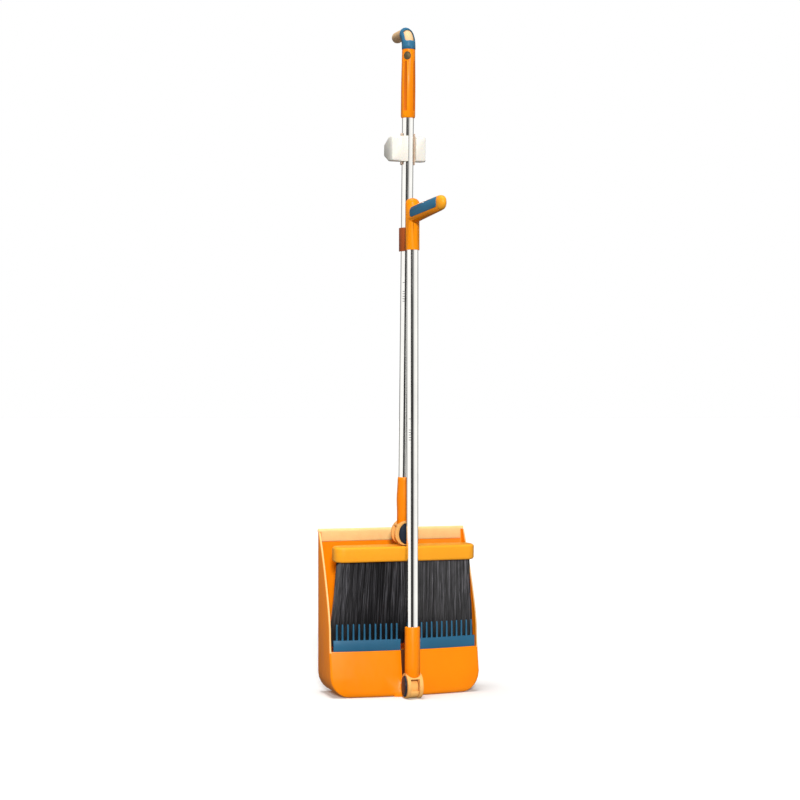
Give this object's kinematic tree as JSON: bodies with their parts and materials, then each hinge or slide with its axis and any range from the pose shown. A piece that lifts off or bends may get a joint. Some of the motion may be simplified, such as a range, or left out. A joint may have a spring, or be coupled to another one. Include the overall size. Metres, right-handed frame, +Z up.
{
  "type": "dust pan and brush set",
  "caption": "Upright dust pan with a hinged pole and horn handle, its swivel-head broom parked inside the pan in the pole's clip, and a wall holder on the broom pole.",
  "frame": {"origin": "centre of the pan's flat bottom face, on the floor", "axes": "+Z up along the poles, +X across the pan to the right, -Y out of the hood towards the user"},
  "size_m": [0.268, 0.2375, 1.144],
  "materials": {
    "orange_plastic": "satin injection-moulded polypropylene",
    "pale_orange_plastic": "satin injection-moulded plastic",
    "amber_plastic": "satin injection-moulded polypropylene",
    "soft_lip": "matt soft thermoplastic rubber",
    "blue_plastic": "fine-grained soft-touch plastic",
    "navy_plastic": "satin moulded cap",
    "polished_steel": "polished stainless tube",
    "zinc": "bright zinc",
    "nylon": "moulded nylon",
    "badge": "dark satin oval",
    "bristle": "matt extruded filament",
    "white_plastic": "satin moulded plastic",
    "jaw_rubber": "matt rubber",
    "foam": "closed-cell foam tape"
  },
  "bodies": {
    "pan": {"pan_shell": "orange_plastic", "pan_lip": "soft_lip", "comb_left": "blue_plastic", "comb_right": "blue_plastic", "pan_tongue": "pale_orange_plastic", "tongue_screw_1": "zinc", "tongue_screw_2": "zinc"},
    "pan_pole": {"pole_fork": "pale_orange_plastic", "hinge_pin": "zinc", "hinge_cap_left": "navy_plastic", "hinge_cap_right": "navy_plastic", "hinge_washer_left": "nylon", "hinge_washer_right": "nylon", "pan_sleeve": "orange_plastic", "pan_pole_tube": "polished_steel", "handle_body": "orange_plastic", "handle_inlay_left": "blue_plastic", "handle_inlay_right": "blue_plastic", "handle_end_cap": "amber_plastic"},
    "broom": {"broom_fork": "pale_orange_plastic", "swivel_pin": "zinc", "swivel_cap_front": "navy_plastic", "swivel_cap_rear": "navy_plastic", "swivel_washer_front": "nylon", "swivel_washer_rear": "nylon", "broom_sleeve": "orange_plastic", "broom_pole_tube": "polished_steel", "broom_grip": "orange_plastic", "grip_badge": "badge", "hook_core": "pale_orange_plastic", "hook_skin": "blue_plastic"},
    "broom_head": {"head_block": "amber_plastic", "head_tongue": "pale_orange_plastic", "head_screw_1": "zinc", "head_screw_2": "zinc", "bristles": "bristle"},
    "wall_holder": {"holder_body": "white_plastic", "holder_jaw": "jaw_rubber", "holder_pad": "foam"}
  },
  "joints": [
    {"name": "pan_fold", "type": "hinge", "parent": "pan", "child": "pan_pole", "pos_m": [0, -0.07, 0.02], "axis": [1, 0, 0], "range_deg": [0, 80]},
    {"name": "broom_lift", "type": "slide", "parent": "pan", "child": "broom", "axis": [0, -0.0323, 0.9995], "range_m": [0, 0.35]},
    {"name": "head_swivel", "type": "hinge", "parent": "broom", "child": "broom_head", "pos_m": [0, -0.023, 0.276], "axis": [0, 0.9995, 0.0323], "range_deg": [-90, 90], "deforming": ["bristles"]},
    {"name": "holder_slide", "type": "slide", "parent": "broom", "child": "wall_holder", "axis": [0, -0.0323, 0.9995], "range_m": [-0.045, 0.022]}
  ]
}
